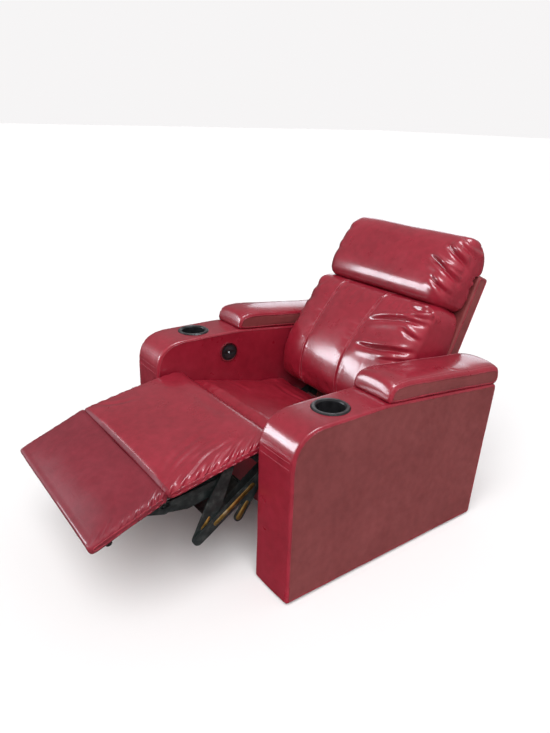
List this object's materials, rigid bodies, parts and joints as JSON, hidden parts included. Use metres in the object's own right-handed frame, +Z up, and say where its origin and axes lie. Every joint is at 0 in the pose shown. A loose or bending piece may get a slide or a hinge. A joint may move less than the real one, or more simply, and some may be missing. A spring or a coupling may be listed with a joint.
{
  "type": "reclining cinema seat",
  "caption": "Padded reclining seat for one person with a raised footrest and a flip-out extension on folding link arms, two wide arms with cup wells, and a button panel inside one arm",
  "frame": {"origin": "on the floor, at the middle of the bounding box's underside, with the footrest out and the back reclined", "axes": "+X is the sitter's left, +Y runs from the footrest to the back, +Z is up"},
  "size_m": [0.884, 1.3869, 0.8946],
  "materials": {
    "arm_leather": null,
    "cushion_leather": null,
    "frame_wood": "plain plywood and hardwood, unfinished",
    "black_plastic": "black moulded plastic",
    "ring_grey": "grey satin trim ring",
    "rim_chrome": "bright plated rim",
    "lamp_lens": "clear pale lens of the pilot light",
    "dark_steel": "pressed steel, dark green-black paint",
    "zinc_steel": "steel with yellow zinc plating",
    "foot_rubber": "black rubber"
  },
  "bodies": {
    "base": {"left_arm_cover": "arm_leather", "right_arm_cover": "arm_leather", "left_arm_frame": "frame_wood", "right_arm_frame": "frame_wood", "left_arm_pad": "arm_leather", "right_arm_pad": "arm_leather", "left_cup_holder": "black_plastic", "right_cup_holder": "black_plastic", "left_cup_trim_ring": "ring_grey", "right_cup_trim_ring": "ring_grey", "left_front_glide": "foot_rubber", "right_front_glide": "foot_rubber", "left_rear_glide": "foot_rubber", "right_rear_glide": "foot_rubber", "control_rim": "rim_chrome", "control_body": "black_plastic", "pilot_light": "lamp_lens", "seat_cushion": "cushion_leather", "seat_frame": "frame_wood", "seat_springs": "dark_steel", "apron": "arm_leather", "left_seat_plate": "dark_steel", "right_seat_plate": "dark_steel", "left_base_rail": "dark_steel", "right_base_rail": "dark_steel", "front_cross_tube": "dark_steel", "rear_cross_tube": "dark_steel", "actuator_bracket": "dark_steel"},
    "recline_button": {"recline_button": "black_plastic"},
    "close_button": {"close_button": "black_plastic"},
    "footrest": {"chaise_pad": "cushion_leather", "chaise_board": "frame_wood", "left_chaise_bracket": "dark_steel", "right_chaise_bracket": "dark_steel", "left_hinge_strap": "dark_steel", "right_hinge_strap": "dark_steel"},
    "extension": {"extension_pad": "cushion_leather", "extension_board": "frame_wood", "left_flap_bracket": "dark_steel", "right_flap_bracket": "dark_steel", "left_bumper": "foot_rubber", "right_bumper": "foot_rubber"},
    "upper_links": {"left_upper_link": "dark_steel", "right_upper_link": "dark_steel"},
    "drive_links": {"left_drive_link": "zinc_steel", "right_drive_link": "zinc_steel"},
    "lower_links": {"left_lower_link": "dark_steel", "right_lower_link": "dark_steel", "torque_tube": "dark_steel", "drive_lever": "dark_steel", "cross_pan": "dark_steel"},
    "actuator_housing": {"actuator_housing": "black_plastic", "actuator_motor": "black_plastic"},
    "actuator_rod": {"actuator_rod": "zinc_steel"},
    "back": {"back_shell": "cushion_leather", "lumbar_cushion": "cushion_leather", "headrest_pillow": "cushion_leather", "left_back_bracket": "dark_steel", "right_back_bracket": "dark_steel"}
  },
  "joints": [
    {"name": "footrest_fold", "type": "hinge", "parent": "base", "child": "footrest", "pos_m": [0, -0.175, 0.374], "axis": [1, 0, 0], "range_deg": [0, 79.6]},
    {"name": "extension_fold", "type": "hinge", "parent": "footrest", "child": "extension", "pos_m": [0, -0.47687, 0.29043], "axis": [1, 0, 0], "range_deg": [0, 170.5]},
    {"name": "upper_link_swing", "type": "hinge", "parent": "footrest", "child": "upper_links", "pos_m": [0, -0.29223, 0.3535], "axis": [1, 0, 0], "range_deg": [-51, 0]},
    {"name": "drive_link_swing", "type": "hinge", "parent": "upper_links", "child": "drive_links", "pos_m": [0, -0.30682, 0.32547], "axis": [1, 0, 0], "range_deg": [0, 69]},
    {"name": "lower_link_swing", "type": "hinge", "parent": "base", "child": "lower_links", "pos_m": [0, -0.162, 0.319], "axis": [1, 0, 0], "range_deg": [0, 55.5]},
    {"name": "actuator_tilt", "type": "hinge", "parent": "base", "child": "actuator_housing", "pos_m": [-0.1, 0.3, 0.15], "axis": [1, 0, 0], "range_deg": [-13.5, 0]},
    {"name": "actuator_stroke", "type": "slide", "parent": "actuator_housing", "child": "actuator_rod", "axis": [0, 0.9916, -0.129], "range_m": [0, 0.0605]},
    {"name": "back_recline", "type": "hinge", "parent": "base", "child": "back", "pos_m": [0, 0.318, 0.205], "axis": [1, 0, 0], "range_deg": [-18, 16]},
    {"name": "recline_button_press", "type": "slide", "parent": "base", "child": "recline_button", "axis": [-1, 0, 0], "range_m": [0, 0.002], "stiffness_N_per_m": 800, "springref_m": -0.0005},
    {"name": "close_button_press", "type": "slide", "parent": "base", "child": "close_button", "axis": [-1, 0, 0], "range_m": [0, 0.002], "stiffness_N_per_m": 800, "springref_m": -0.0005}
  ],
  "couplings": [
    {"joint": "extension_fold", "follows": "footrest_fold", "ratio": 2.1344},
    {"joint": "upper_link_swing", "follows": "footrest_fold", "ratio": -0.63328},
    {"joint": "drive_link_swing", "follows": "footrest_fold", "ratio": 0.8564},
    {"joint": "lower_link_swing", "follows": "footrest_fold", "ratio": 0.68708},
    {"joint": "actuator_tilt", "follows": "footrest_fold", "ratio": -0.15963},
    {"joint": "actuator_stroke", "follows": "footrest_fold", "m_per_rad": 0.043078}
  ]
}
